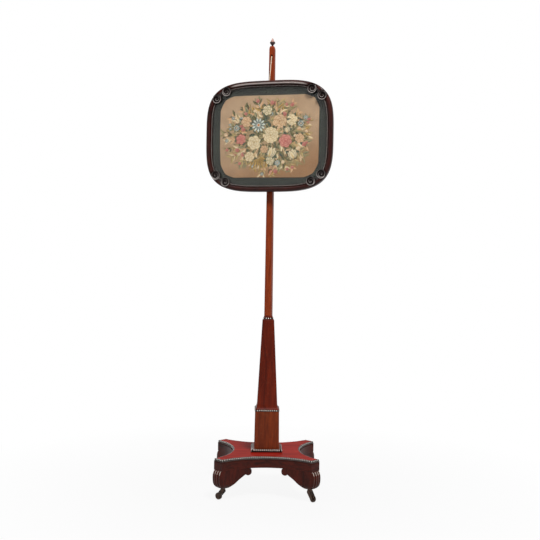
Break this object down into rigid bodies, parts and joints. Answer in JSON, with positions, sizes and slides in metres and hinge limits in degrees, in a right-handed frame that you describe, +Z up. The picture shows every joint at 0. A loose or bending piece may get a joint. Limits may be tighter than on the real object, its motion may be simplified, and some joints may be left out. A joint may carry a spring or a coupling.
{
  "type": "pole screen",
  "caption": "Free-standing pole screen: a framed needlework panel slides on a square pole over a tapered column, on a hollow-sided platform with carved feet and casters.",
  "frame": {"origin": "point on the floor under the column's axis", "axes": "+Z up along the column, -Y the front, +X to the right seen from the front"},
  "size_m": [0.4186, 0.3434, 1.5047],
  "materials": {
    "mahogany": "polished red-brown wood",
    "carved_wood": "dark polished wood",
    "frame_wood": "near-black polished wood",
    "board_wood": "plain brown wood",
    "bronze": "dark tarnished bronze",
    "brass": "dull brass",
    "iron": "rough grey iron",
    "steel": "plain steel",
    "cord": "pale twisted cord",
    "needlework": "wool stitches on a tan ground",
    "cloth": "dark green-black cloth",
    "glass": "thin clear sheet"
  },
  "bodies": {
    "stand": {"platform_top": "mahogany", "frieze_rails": "carved_wood", "corner_blocks": "carved_wood", "platform_beading": "carved_wood", "foot_fl": "carved_wood", "foot_fr": "carved_wood", "foot_rr": "carved_wood", "foot_rl": "carved_wood", "brackets_fl": "carved_wood", "brackets_fr": "carved_wood", "brackets_rr": "carved_wood", "brackets_rl": "carved_wood", "caster_sockets": "bronze", "column_plinth": "mahogany", "plinth_beading": "carved_wood", "column_die": "mahogany", "die_beading": "carved_wood", "column_shaft": "mahogany", "column_cap": "mahogany", "cap_beading": "carved_wood", "column_screws": "steel"},
    "pole": {"pole": "mahogany", "pole_slip": "mahogany", "finial": "frame_wood", "sheave_pin": "steel", "cord_front": "cord", "cord_over": "cord", "cord_inside": "cord"},
    "sheave": {"sheave": "brass"},
    "weight": {"counterweight": "iron"},
    "screen": {"frame_top_rail": "frame_wood", "frame_bottom_rail": "frame_wood", "frame_left_stile": "frame_wood", "frame_right_stile": "frame_wood", "scrolls_tl": "frame_wood", "scrolls_tr": "frame_wood", "scrolls_br": "frame_wood", "scrolls_bl": "frame_wood", "sight_beading": "frame_wood", "glass": "glass", "needlework": "needlework", "cloth_ground": "cloth", "backboard": "board_wood", "slide_block_upper": "carved_wood", "slide_block_lower": "carved_wood", "keeper_upper": "brass", "keeper_lower": "brass", "spring_upper": "brass", "spring_lower": "brass", "keeper_screws": "brass", "cord_eye": "brass"},
    "caster_fl": {"caster_fork_fl": "bronze"},
    "wheel_fl": {"caster_wheel_fl": "bronze"},
    "caster_fr": {"caster_fork_fr": "bronze"},
    "wheel_fr": {"caster_wheel_fr": "bronze"},
    "caster_rr": {"caster_fork_rr": "bronze"},
    "wheel_rr": {"caster_wheel_rr": "bronze"},
    "caster_rl": {"caster_fork_rl": "bronze"},
    "wheel_rl": {"caster_wheel_rl": "bronze"}
  },
  "joints": [
    {"name": "pole_turn", "type": "hinge", "parent": "stand", "child": "pole", "pos_m": [0, 0, 0.5804], "axis": [0, 0, 1], "continuous": true},
    {"name": "screen_slide", "type": "slide", "parent": "pole", "child": "screen", "axis": [0, 0, 1], "range_m": [-0.18, 0.045], "deforming": ["cord_front"]},
    {"name": "weight_slide", "type": "slide", "parent": "pole", "child": "weight", "axis": [0, 0, 1], "range_m": [-0.045, 0.18], "deforming": ["cord_inside"]},
    {"name": "sheave_turn", "type": "hinge", "parent": "pole", "child": "sheave", "pos_m": [-0.00121, -0.00422, 1.4362], "axis": [0.9613, -0.2756, 0], "continuous": true},
    {"name": "caster_swivel_fl", "type": "hinge", "parent": "stand", "child": "caster_fl", "pos_m": [-0.138, -0.138, 0.04], "axis": [0, 0, 1], "continuous": true},
    {"name": "wheel_roll_fl", "type": "hinge", "parent": "caster_fl", "child": "wheel_fl", "pos_m": [-0.15157, -0.12952, 0.01125], "axis": [-0.5299, -0.848, 0], "continuous": true},
    {"name": "caster_swivel_fr", "type": "hinge", "parent": "stand", "child": "caster_fr", "pos_m": [0.138, -0.138, 0.04], "axis": [0, 0, 1], "continuous": true},
    {"name": "wheel_roll_fr", "type": "hinge", "parent": "caster_fr", "child": "wheel_fr", "pos_m": [0.14741, -0.15094, 0.01125], "axis": [0.809, 0.5878, 0], "continuous": true},
    {"name": "caster_swivel_rr", "type": "hinge", "parent": "stand", "child": "caster_rr", "pos_m": [0.138, 0.138, 0.04], "axis": [0, 0, 1], "continuous": true},
    {"name": "wheel_roll_rr", "type": "hinge", "parent": "caster_rr", "child": "wheel_rr", "pos_m": [0.15304, 0.14347, 0.01125], "axis": [-0.342, 0.9397, 0], "continuous": true},
    {"name": "caster_swivel_rl", "type": "hinge", "parent": "stand", "child": "caster_rl", "pos_m": [-0.138, 0.138, 0.04], "axis": [0, 0, 1], "continuous": true},
    {"name": "wheel_roll_rl", "type": "hinge", "parent": "caster_rl", "child": "wheel_rl", "pos_m": [-0.14078, 0.15376, 0.01125], "axis": [-0.9848, -0.1736, 0], "continuous": true}
  ],
  "couplings": [
    {"joint": "weight_slide", "follows": "screen_slide", "ratio": -1},
    {"joint": "sheave_turn", "follows": "screen_slide", "rad_per_m": -166.67}
  ]
}
